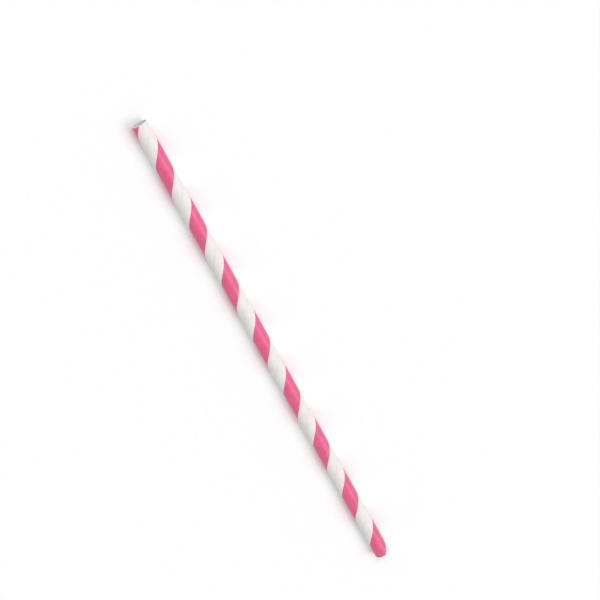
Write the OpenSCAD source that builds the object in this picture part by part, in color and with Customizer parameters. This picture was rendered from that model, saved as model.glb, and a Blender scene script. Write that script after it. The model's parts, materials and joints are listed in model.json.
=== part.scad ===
// Striped paper drinking straw, spirally wound from plies of paper strip.
// The straw lies along X on the plane z = 0, with its middle above the origin.

/* [Tube] */
// Length between the two square-cut ends
straw_length = 197; // [120:1:260]
// Bore that the drink is drawn through
bore_d = 5.22; // [4:0.01:11]
// Plies of paper strip wound over each other
ply_count = 3; // [2:1:4]
// Thickness of one ply with its film of glue
ply_t = 0.13; // [0.08:0.01:0.2]
// Width of the flat where the soft paper has settled on the surface under it
rest_flat_w = 1; // [0.4:0.1:1.2]

/* [Winding] */
// Angle of the strip's edges to the straw's cross-section
wind_angle = 52.75; // [40:0.05:62]
// Open butt joint between neighbouring turns of a ply, measured along the straw
seam_gap = 0.15; // [0.1:0.05:0.5]
// Turn of the whole winding about the straw's axis
wind_turn = 264; // [0:1:359]

/* [Print] */
// Width of the printed stripe, measured square to the strip's edges
stripe_w = 7.2; // [2:0.1:8]
// Depth that the ink reaches into the outer ply
ink_depth = 0.06; // [0.05:0.01:0.1]
// Colour of the printed stripe
stripe_colour = "#ee7299"; // color
// Colour of the bare paper
paper_colour = "#f4f0ea"; // color

/* [Hidden] */

bore_r = bore_d / 2;
outer_r = bore_r + ply_count * ply_t;
axis_z = sqrt(pow(outer_r, 2) - pow(rest_flat_w / 2, 2));
// A strip climbs by one lead in each turn, which is its own width as measured along the straw
lead = 2 * PI * outer_r * tan(wind_angle);
stripe_along = stripe_w / cos(wind_angle);
// Steps of a helical band in each turn, and how far a cutter runs past the wall that it cuts
turn_steps = 20;
overrun = 0.15;

$fn = 96;

// Round bar along the straw's axis
module bar(r, length) {
    rotate([0, 90, 0])
    cylinder(r = r, h = length, center = true);
}

// Paper between a radius and the outside, with the flat along its underside
module wall(inner) {
    difference() {
        bar(outer_r, straw_length);
        bar(inner, straw_length + 2 * overrun);
        translate([0, 0, -axis_z - outer_r])
        cube([straw_length + 2 * overrun, 2 * outer_r, 2 * outer_r], center = true);
    }
}

// Corner of a band's section: at radius r and height z, carried along the helix by some steps
function helix_point(r, z, step) =
    let (a = 360 * step / turn_steps + wind_turn)
    [z + lead * step / turn_steps, r * sin(a), -r * cos(a)];

// Right-handed helical band round the straw's axis that runs past both ends.
// Its middle passes the given place along the straw where the winding's turn starts.
module helical_band(inner, outer, width, place) {
    reach = straw_length / 2 + width / 2 + overrun;
    first = floor((-reach - place) * turn_steps / lead);
    last = ceil((reach - place) * turn_steps / lead);
    low = place - width / 2;
    high = place + width / 2;
    points = [
        for (step = [first : last])
        each [
            helix_point(inner, low, step),
            helix_point(outer, low, step),
            helix_point(outer, high, step),
            helix_point(inner, high, step)
        ]
    ];
    sides = [
        for (i = [0 : last - first - 1], side = [0 : 3])
        let (a = 4 * i + side, b = 4 * i + (side + 1) % 4)
        each [[a, b, a + 4], [b, b + 4, a + 4]]
    ];
    end = 4 * (last - first);
    polyhedron(points, concat(sides, [[3, 2, 1, 0], [end, end + 1, end + 2, end + 3]]));
}

// Inked skin of the outer ply: one stripe along the middle of the strip
module printed_stripe() {
    intersection() {
        wall(outer_r - ink_depth);
        helical_band(outer_r - ink_depth - overrun, outer_r + overrun, stripe_along, 0);
    }
}

// Butt joint where the edges of the outer strip meet, half a strip away from the stripe
module outer_seam() {
    helical_band(outer_r - ply_t, outer_r + overrun, seam_gap, lead / 2);
}

// Butt joint of the innermost strip, staggered by half a strip from the outer one
module inner_seam() {
    helical_band(bore_r - overrun, bore_r + ply_t, seam_gap, 0);
}

module straw_tube() {
    translate([0, 0, axis_z])
    difference() {
        union() {
            color(stripe_colour) printed_stripe();
            color(paper_colour)
            difference() {
                wall(bore_r);
                printed_stripe();
            }
        }
        color(paper_colour) outer_seam();
        color(paper_colour) inner_seam();
    }
}

straw_tube();
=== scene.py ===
import json
import math

import bpy
import numpy as np
from mathutils import Matrix, Vector


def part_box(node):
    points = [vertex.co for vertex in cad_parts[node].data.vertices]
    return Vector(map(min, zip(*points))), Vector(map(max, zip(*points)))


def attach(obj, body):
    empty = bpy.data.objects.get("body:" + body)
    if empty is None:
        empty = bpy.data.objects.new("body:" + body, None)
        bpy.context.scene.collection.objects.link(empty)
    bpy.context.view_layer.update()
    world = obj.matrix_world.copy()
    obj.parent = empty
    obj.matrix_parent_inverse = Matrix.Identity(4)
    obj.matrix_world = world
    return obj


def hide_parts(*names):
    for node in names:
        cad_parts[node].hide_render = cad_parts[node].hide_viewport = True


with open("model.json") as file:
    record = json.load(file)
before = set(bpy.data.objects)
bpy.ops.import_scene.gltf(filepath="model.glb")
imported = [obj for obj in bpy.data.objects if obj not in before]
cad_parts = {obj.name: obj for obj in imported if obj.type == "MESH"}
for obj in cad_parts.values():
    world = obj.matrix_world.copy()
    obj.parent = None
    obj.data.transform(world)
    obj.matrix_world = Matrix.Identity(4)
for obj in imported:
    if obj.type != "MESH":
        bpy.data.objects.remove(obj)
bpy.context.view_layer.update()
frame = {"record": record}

# The straw. Three narrow strips of white paper are wound in a spiral over a steel rod, each glued to
# the one below, and come off it as one endless tube. The edges of a strip's turns butt with a hair's
# gap, and a rolling knife cuts the tube to length, which turns the paper's cut edges over a little.
MM = 0.001
mounts = {mount["name"]: mount for mount in frame["record"]["mounts"]}
outer_r = mounts["outside"]["dims"]["r_mm"] * MM
bore_r = mounts["bore"]["dims"]["r_mm"] * MM
axis_z = mounts["bore"]["pos_m"][2]
tube_low, tube_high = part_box("straw_tube")
end_x = (tube_high[0] - tube_low[0]) / 2
wall = outer_r - bore_r
ply_count = 3
ply = wall / ply_count

# The winding angle is that of the strip's edges to the tube's cross-section. The turn says where the
# middle of the outer strip passes the middle of the tube, counted from the underside by way of +Y.
wind_angle = math.radians(52.75)
wind_turn = math.radians(264)
girth = 2 * math.pi * outer_r
lead = girth * math.tan(wind_angle)
strip_w = girth * math.sin(wind_angle)

# The seams of the three strips are staggered: each has its place as a share of the strip's width from
# the middle of the outer strip. Its floor, walls and lips lie at distances along x from its own middle,
# and the even columns of the mesh keep clear of them.
outer_seam = 0.5
middle_seam = 0.25
inner_seam = 0.0
seam_gap = 0.15 * MM
seam_floor = 0.3 * seam_gap
seam_top = 0.6 * seam_gap
lip_top = seam_gap
lip_w = 0.5 * seam_gap
lip_foot = 1.7 * seam_gap
seam_reach = 3 * seam_gap
seam_clear = 4 * seam_gap

# Fine relief of the paper: the lips of the outer seam, dents over the seams below, slow unevenness,
# and at the ends the rounded edges, the knife's nip, its ragged cut and the valleys of the glue lines
lip_height = 0.005 * MM
middle_dent = 0.012 * MM
inner_dent = 0.007 * MM
dent_w = 0.5 * MM
unevenness = 0.005 * MM
rolled_edge = 0.05 * MM
nip_depth = 0.03 * MM
nip_reach = 0.25 * MM
raggedness = 0.012 * MM
valley_w = 0.012 * MM
valley_depth = 0.026 * MM

# Sines round the tube, each as its height, its lobes in a full circle, the radians by which it drifts
# round in a metre of x, and its phase. The teeth of the ragged cut are set back by about their height.
slow_waves = [(1, 3, 1 / (11 * MM), 0), (1, 2, -1 / (17 * MM), 1)]
cut_teeth = [(1, 2, 0, 1), (0.6, 7, 0, 0), (0.5, 17, 0, 2)]
teeth_set_back = 2

# The mesh has even columns across the strip and even rows along its walls, in lanes of equal length.
# A cut face has rows round its edges, and others beside each glue line, in widths of its valley.
even_steps = 92
lanes = 4
lane_rows = 99
wall_rows = lanes * lane_rows + 1
edge_rows = 6
valley_rows = np.array([-3.5, -1.6, -0.8, 0, 0.8, 1.6, 3.5])
glue_lines = ply * np.arange(1, ply_count)


def bell(distance, width):
    """A smooth bump of height 1: e to the power of minus the square of distance over width."""
    return np.exp(-(distance / width) ** 2)


def ripple(angle, x, sines):
    """A sum of sines: each is its height times the sine of its lobes times the angle, plus its drift
    times x, plus its phase."""
    return sum(
        height * np.sin(lobes * angle + drift * x + phase)
        for height, lobes, drift, phase in sines
    )


def seam_depth(distance):
    """Depth of a seam at a distance along the tube from its middle: one ply over the floor of the gap,
    falling to nothing over the strip's two cut edges as a smooth step."""
    rise = np.clip((distance - seam_floor) / (seam_top - seam_floor), 0, 1)
    return ply * (1 - rise * rise * (3 - 2 * rise))


def strip_columns():
    """Places across the strip as shares of its width, from edge (-0.5) to edge (0.5): even steps, and
    closer ones beside the outer and the inner seam for their floors, walls and lips."""
    seam_wall = [seam_floor, (seam_floor + seam_top) / 2, seam_top]
    beside = np.array([0, *seam_wall, lip_top, lip_foot, seam_reach]) / lead
    clear = seam_clear / lead
    even = np.linspace(-0.5, 0.5, even_steps + 1)
    even = even[(abs(even - inner_seam) > clear) & (outer_seam - abs(even) > clear)]
    seams = [inner_seam - beside, inner_seam + beside, outer_seam - beside, beside - outer_seam]
    return np.unique(np.concatenate([even, *seams]))


def cut_depths():
    """Depths in the wall at which a cut face has a row: cosine steps round its two edges, and set
    multiples of a valley's width beside each glue line."""
    quarter = rolled_edge * (1 - np.cos(np.linspace(0, math.pi / 2, edge_rows)))
    beside_glue = glue_lines[:, None] + valley_w * valley_rows
    return np.unique(np.concatenate([quarter, wall - quarter, *beside_glue]))


def cut_inset(depth):
    """How far a cut face lies behind the tube's square end at a depth in the wall: a quarter round at
    the outside and at the bore, and a valley in the shape of a bell along each glue line."""
    from_edge = np.clip(np.minimum(depth, wall - depth), 0, rolled_edge)
    rounding = rolled_edge - np.sqrt(rolled_edge ** 2 - (rolled_edge - from_edge) ** 2)
    return rounding + valley_depth * bell(depth[:, None] - glue_lines, valley_w).sum(axis=1)


def tube_profile():
    """The section of the tube's wall as one closed loop of x and depth: along the outside to +x,
    through the cut face there, back along the bore, and out through the cut face at -x."""
    rim = cut_depths()
    inset = cut_inset(rim)
    outside = np.linspace(rolled_edge - end_x, end_x - rolled_edge, wall_rows)
    x = np.concatenate([outside, end_x - inset[1:-1], outside[::-1], inset[-2:0:-1] - end_x])
    depth = np.concatenate([0 * outside, rim[1:-1], 0 * outside + wall, rim[-2:0:-1]])
    return x, depth


def tube_points(x, depth, across):
    """The tube as a grid of profile rows and strip columns. A column keeps its place across the strip,
    so it climbs the tube as a helix: its angle is the turn, plus a full circle for each lead of x, less
    a full circle for each strip width. The radius is the outside less the depth. A seam takes its own
    depth out of the wall, and the rows share what is left. The paper's fine relief is added last, and
    the underside is flat where it would reach below the floor."""
    x = x[:, None] + 0 * across
    angle = wind_turn + 2 * math.pi * (x / lead - across)
    from_outer = (outer_seam - abs(across)) * lead
    from_middle = abs(across - middle_seam) * lead
    from_inner = abs(across - inner_seam) * lead
    outer_cut = seam_depth(from_outer)
    inner_cut = seam_depth(from_inner)
    depth = outer_cut + depth[:, None] / wall * (wall - outer_cut - inner_cut)

    lips = lip_height * bell(from_outer - lip_top, lip_w)
    dents = middle_dent * bell(from_middle, dent_w) + inner_dent * bell(from_inner, dent_w)
    from_end = np.maximum(end_x - abs(x), 0)
    nip = nip_depth * np.exp(-from_end / nip_reach)
    skin = (1 - depth / wall) * (lips - dents - nip)
    radius = outer_r - depth + skin + unevenness * ripple(angle, x, slow_waves)
    bite = raggedness * (teeth_set_back + ripple(angle, x, cut_teeth))
    x = x - np.sign(x) * bite * bell(from_end, nip_reach)
    y = radius * np.sin(angle)
    z = np.maximum(axis_z - radius * np.cos(angle), 0)
    return np.stack([x, y, z], axis=-1), depth


across = strip_columns()
row_x, row_depth = tube_profile()
points, depths = tube_points(row_x, row_depth, across[:-1])
rows, columns = depths.shape

# Each face lies between two rows and two columns, and both ways round the last one meets the first
row, column = np.meshgrid(np.arange(rows), np.arange(columns), indexing="ij")
face_row, face_column = row.reshape(-1, 1), column.reshape(-1, 1)
corner_row = (face_row + [0, 1, 1, 0]) % rows
corner_column = face_column + [0, 0, 1, 1]
corners = corner_row * columns + corner_column % columns

mesh = bpy.data.meshes.new("wound_straw")
mesh.from_pydata(points.reshape(-1, 3), [], corners)
mesh.polygons.foreach_set("use_smooth", np.ones(len(corners), dtype=bool))
straw = bpy.data.objects.new("wound_straw", mesh)
bpy.context.scene.collection.objects.link(straw)
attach(straw, "root")
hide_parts("straw_tube")

# Only the outside takes print, and the depth in plies says where a cut face has its glue lines
corner_depth = row_depth[corner_row]
on_outside = (corner_depth == 0).all(axis=1)
on_bore = (corner_depth == wall).all(axis=1)
printed_faces = mesh.attributes.new("printed", "FLOAT", "FACE")
printed_faces.data.foreach_set("value", on_outside.astype(np.float32))
depth_points = mesh.attributes.new("depth_in_plies", "FLOAT", "POINT")
depth_points.data.foreach_set("value", (depths / ply).ravel().astype(np.float32))

# A map of the strip laid flat, in metres along and across it. Along is x over the sine of the winding
# angle, less the part of the girth by which the strip's square end runs back across its width.
corner_across = across[corner_column]
run_back = girth * math.cos(wind_angle)
along_m = row_x[corner_row] / math.sin(wind_angle) - run_back * corner_across
across_m = strip_w * corner_across
strip_map = mesh.uv_layers.new(name="strip")
strip_map.data.foreach_set("uv", np.stack([along_m, across_m], axis=-1).ravel())

# A map for baking, with no overlaps: the lanes of the outside lie side by side, those of the bore lie
# above them, and the two cut faces lie at the top
outside_top, bore_top = 0.58, 0.96
bore_row = int(np.argmax(row_depth == wall))
around = corner_across + 0.5


def within(low, high, share, margin=0.02):
    """A share of the span from low to high, kept clear of both ends by a margin."""
    return low + (high - low) * (margin + (1 - 2 * margin) * share)


def lane_places(first_row, low, high):
    """Map places of a wall: u is the lane and the share round the tube, v the share along the lane."""
    lane = (face_row - first_row) // lane_rows
    along = (corner_row - first_row) / lane_rows - lane
    return np.stack([within(lane, lane + 1, around) / lanes, within(low, high, along)], axis=-1)


far_face = row_x[corner_row] > 0
cut_u = within(0, 1, around) / 2 + far_face / 2
cut_v = within(bore_top, 1, corner_depth / wall)
bake_places = np.where(
    on_outside[:, None, None],
    lane_places(0, 0, outside_top),
    np.where(
        on_bore[:, None, None],
        lane_places(bore_row, outside_top, bore_top),
        np.stack([cut_u, cut_v], axis=-1),
    ),
)
bake_map = mesh.uv_layers.new(name="OFBake")
bake_map.data.foreach_set("uv", bake_places.ravel())

# The paper is bleached kraft with its fibres along the strip. The pink stripe is printed along the
# middle of the outer strip in thin water-based ink, which sinks in, so it mottles a little, creeps
# along the fibres at its borders and hides none of the grain.
paper = bpy.data.materials.new("printed_straw_paper")
paper.use_nodes = True
tree = paper.node_tree
tree.nodes.clear()


def add(tree, kind, inputs=None, **settings):
    """Adds a shader node with its settings, and sets or links each of the inputs named."""
    node = tree.nodes.new("ShaderNode" + kind)
    for name, value in settings.items():
        setattr(node, name, value)
    for name, value in (inputs or {}).items():
        if isinstance(value, bpy.types.NodeSocket):
            tree.links.new(value, node.inputs[name])
        else:
            node.inputs[name].default_value = value
    return node


def calc(tree, operation, a, b=0.0):
    """One step of arithmetic on two numbers, each a fixed value or a node's output."""
    return add(tree, "Math", {0: a, 1: b}, operation=operation).outputs[0]


def ramp(tree, value, span, at_low=0.0, at_high=1.0):
    """A smooth step from at_low to at_high while the value goes from the span's low end to its high."""
    low, high = span
    inputs = {"Value": value, "From Min": low, "From Max": high, "To Min": at_low, "To Max": at_high}
    return add(tree, "MapRange", inputs, interpolation_type="SMOOTHSTEP").outputs["Result"]


def grain(tree, vector, size, detail=2.0, stretch=1.0):
    """Noise with features of about the given size, drawn out along the first axis by the stretch."""
    scale = (1 / (size * stretch), 1 / size, 1 / size)
    placed = add(tree, "Mapping", {"Vector": vector, "Scale": scale}).outputs["Vector"]
    return add(tree, "TexNoise", {"Vector": placed, "Scale": 1.0, "Detail": detail}).outputs["Fac"]


def screen(r, g, b):
    """A screen colour in parts of 255, as the linear colour that a shader takes."""
    shown = np.array([r, g, b]) / 255
    light = np.where(shown <= 0.04045, shown / 12.92, ((shown + 0.055) / 1.055) ** 2.4)
    return (*light.tolist(), 1.0)


def mix(tree, share, a, b):
    """The colour at a share of the way from one colour to another. The Mix node also has sockets for
    numbers and vectors: those for colours are its inputs 6 and 7 and its output 2."""
    return add(tree, "Mix", {"Factor": share, 6: a, 7: b}, data_type="RGBA").outputs[2]


# The grain is fibres drawn out along the strip, flecks, and wide soft clouds. Each is a noise about its
# middle value, and a span of it is where a feature comes in.
fibre_size = 0.1 * MM
fibre_stretch = 4.5
fleck_size = 0.09 * MM
cloud_size = 2.5 * MM
fine_detail = 3.0
cloud_span = (0.3, 0.7)
in_tube = add(tree, "TexCoord").outputs["Object"]
on_strip = add(tree, "UVMap", uv_map="strip").outputs["UV"]
fibres = grain(tree, on_strip, fibre_size, fine_detail, fibre_stretch)
flecks = grain(tree, in_tube, fleck_size, fine_detail)
clouds = ramp(tree, grain(tree, in_tube, cloud_size), cloud_span)

# The ink lies inside the stripe's border, which wanders as the ink creeps, and on the outside only. It
# is thinner on some flecks, and scuffed off along the two cuts.
stripe_w = 7.2 * MM
stripe_border = 0.03 * MM
ink_creep = 0.12 * MM
creep_size = 0.35 * MM
creep_middle = 0.5
thin_span = (0.25, 0.5)
thin_ink = 0.86
ink_scuff = 0.22 * MM
printed = add(tree, "Attribute", attribute_name="printed").outputs["Fac"]
creep = calc(tree, "SUBTRACT", grain(tree, in_tube, creep_size), creep_middle)
wander = calc(tree, "MULTIPLY", creep, ink_creep)
place = add(tree, "SeparateXYZ", {"Vector": on_strip}).outputs["Y"]
from_middle = calc(tree, "ABSOLUTE", calc(tree, "ADD", place, wander))
border_span = (stripe_w / 2 - stripe_border, stripe_w / 2 + stripe_border)
stripe = ramp(tree, from_middle, border_span, 1.0, 0.0)
cover = ramp(tree, flecks, thin_span, thin_ink, 1.0)
along_tube = add(tree, "SeparateXYZ", {"Vector": in_tube}).outputs["X"]
from_cut = calc(tree, "SUBTRACT", end_x, calc(tree, "ABSOLUTE", along_tube))
unscuffed = ramp(tree, calc(tree, "ADD", from_cut, wander), (rolled_edge, ink_scuff))
ink = calc(tree, "MULTIPLY", calc(tree, "MULTIPLY", stripe, cover), printed)
ink = calc(tree, "MULTIPLY", ink, unscuffed)

# Bare paper is a warm white, and the ink is a deep pink. Clouds lighten both of them a little, and
# fibres darken them.
paper_shade = screen(230, 226, 224)
paper_light = screen(236, 231, 229)
paper_fibre = screen(222, 218, 212)
paper_fibre_span = (0.6, 0.8)
paper_fibre_share = 0.35
pink_shade = screen(224, 82, 128)
pink_light = screen(232, 91, 139)
pink_fibre = screen(214, 70, 118)
pink_fibre_span = (0.55, 0.8)
pink_fibre_share = 0.3
paper_fibres = ramp(tree, fibres, paper_fibre_span, 0.0, paper_fibre_share)
pink_fibres = ramp(tree, fibres, pink_fibre_span, 0.0, pink_fibre_share)
bare = mix(tree, paper_fibres, mix(tree, clouds, paper_shade, paper_light), paper_fibre)
pink = mix(tree, pink_fibres, mix(tree, clouds, pink_shade, pink_light), pink_fibre)
colour = mix(tree, ink, bare, pink)

# Glue shows as a faint line between the plies of a cut face and on the floor of the seams
glue_tint = screen(188, 178, 164)
glue_reach = 0.16
glue_share = 0.22
plies_deep = add(tree, "Attribute", attribute_name="depth_in_plies").outputs["Fac"]
to_first = calc(tree, "ABSOLUTE", calc(tree, "SUBTRACT", plies_deep, 1.0))
to_second = calc(tree, "ABSOLUTE", calc(tree, "SUBTRACT", plies_deep, 2.0))
glue = ramp(tree, calc(tree, "MINIMUM", to_first, to_second), (0.0, glue_reach), glue_share, 0.0)
colour = mix(tree, glue, colour, glue_tint)

# The paper is dull, and the ink that fills its pores has a satin gloss. Fibres and flecks share the
# height of the fine grain.
dull_span = (0.3, 0.7)
dullest, least_dull = 0.72, 0.62
ink_gloss = 0.3
fibre_share = 0.6
grain_depth = 0.05 * MM
grain_strength = 0.5
dry = ramp(tree, fibres, dull_span, least_dull, dullest)
roughness = calc(tree, "SUBTRACT", dry, calc(tree, "MULTIPLY", ink, ink_gloss))
fibre_height = calc(tree, "MULTIPLY", fibres, fibre_share)
fleck_height = calc(tree, "MULTIPLY", flecks, 1 - fibre_share)
height = calc(tree, "ADD", fibre_height, fleck_height)
bump = add(tree, "Bump", {"Height": height, "Strength": grain_strength, "Distance": grain_depth})
surface = add(tree, "BsdfPrincipled", {
    "Base Color": colour,
    "Roughness": roughness,
    "Normal": bump.outputs["Normal"],
})
add(tree, "OutputMaterial", {"Surface": surface.outputs["BSDF"]})
mesh.materials.append(paper)

# The floor is a wide sheet of plain white card that the straw lies on. It is matte, it takes the straw's
# soft shadow and a tint of its pink, and it throws light back on the straw's underside.
floor_half = 2.0
card_tooth = 1.5 * MM
card_shade = screen(252, 252, 252)
card_light = screen(254, 254, 254)
floor_corners = floor_half * np.array([[-1, -1, 0], [1, -1, 0], [1, 1, 0], [-1, 1, 0]])
floor_mesh = bpy.data.meshes.new("floor")
floor_mesh.from_pydata(floor_corners, [], [range(4)])
floor = bpy.data.objects.new("floor", floor_mesh)
bpy.context.scene.collection.objects.link(floor)

card = bpy.data.materials.new("white_card")
card.use_nodes = True
tree = card.node_tree
tree.nodes.clear()
tooth = grain(tree, add(tree, "TexCoord").outputs["Object"], card_tooth)
matte = add(tree, "BsdfDiffuse", {"Color": mix(tree, tooth, card_shade, card_light)})
add(tree, "OutputMaterial", {"Surface": matte.outputs["BSDF"]})
floor_mesh.materials.append(card)

# The light is an even white tent all round, and two wide soft lamps above the straw. One stands on its
# +Y side and lays a satin streak along the ink, the other looks into its near end. Together they light
# a flat surface at a level of about 1. The tent itself looks plain white.
tent_level = 0.55
tent_looks = 1.0
tent_white = (1.0, 1.0, 1.0, 1.0)
world = bpy.data.worlds.new("tent")
world.use_nodes = True
tree = world.node_tree
tree.nodes.clear()
path = add(tree, "LightPath").outputs
looked_at = calc(tree, "MAXIMUM", path["Is Camera Ray"], path["Is Glossy Ray"])
looked_at = calc(tree, "MAXIMUM", looked_at, path["Is Transmission Ray"])
level = ramp(tree, looked_at, (0.0, 1.0), tent_level, tent_looks)
tent = add(tree, "Background", {"Color": tent_white, "Strength": level})
add(tree, "OutputWorld", {"Surface": tent.outputs["Background"]})
bpy.context.scene.world = world

# Each lamp has its level on a surface that faces it, and the way from the straw to it
lamp_spread = math.radians(38)
lamps = {
    "side_lamp": (0.3, Vector((0.3, 0.55, 0.78))),
    "end_lamp": (0.28, Vector((-0.5, 0.2, 0.8))),
}
for lamp_name, (lamp_level, way_to_lamp) in lamps.items():
    lamp_data = bpy.data.lights.new(lamp_name, "SUN")
    lamp_data.energy = lamp_level * math.pi
    lamp_data.angle = lamp_spread
    lamp = bpy.data.objects.new(lamp_name, lamp_data)
    lamp.rotation_euler = way_to_lamp.to_track_quat("Z", "Y").to_euler()
    bpy.context.scene.collection.objects.link(lamp)

# The camera looks down on the straw at the photograph's angle. Both ends of the straw's axis lie on
# their pixels, and its far end lies deeper by its fall away from the picture plane. The near end's depth
# is then the one at which the two ends are the straw's length apart: the root of a quadratic.
image_px = 600
focal_px = 1652.6
near_px = np.array([139.04, 123.69])
far_px = np.array([382.52, 552.72])
fall_away = math.radians(20.76)
length = 2 * end_x
deeper = length * math.sin(fall_away)
near_ray = (near_px - image_px / 2) / focal_px
far_ray = (far_px - image_px / 2) / focal_px
ray_step = far_ray - near_ray
squared = ray_step @ ray_step
linear_part = 2 * deeper * (ray_step @ far_ray)
constant = deeper ** 2 * (far_ray @ far_ray) - (length * math.cos(fall_away)) ** 2
near_depth = (math.sqrt(linear_part ** 2 - 4 * squared * constant) - linear_part) / (2 * squared)
near_end = near_depth * np.append(near_ray, 1)
far_end = (near_depth + deeper) * np.append(far_ray, 1)

# The straw's axes, in the camera's right, down and forward. Its Z axis points up to the camera. Blender's
# cameras count up and backward instead, so the turn has the last two with their signs changed.
tube_x = (far_end - near_end) / length
tube_z = (near_end @ tube_x) * tube_x - near_end
tube_z /= np.linalg.norm(tube_z)
axes = np.stack([tube_x, np.cross(tube_z, tube_x), tube_z])
turn = axes @ np.diag([1, -1, -1])
stand = np.array([-end_x, 0, axis_z]) - axes @ near_end

camera_data = bpy.data.cameras.new("camera")
camera_data.lens = camera_data.sensor_width * focal_px / image_px
camera = bpy.data.objects.new("camera", camera_data)
camera.matrix_world = Matrix.Translation(stand) @ Matrix(turn.tolist()).to_4x4()
bpy.context.scene.collection.objects.link(camera)
bpy.context.scene.camera = camera
bpy.context.scene.view_settings.view_transform = "Standard"
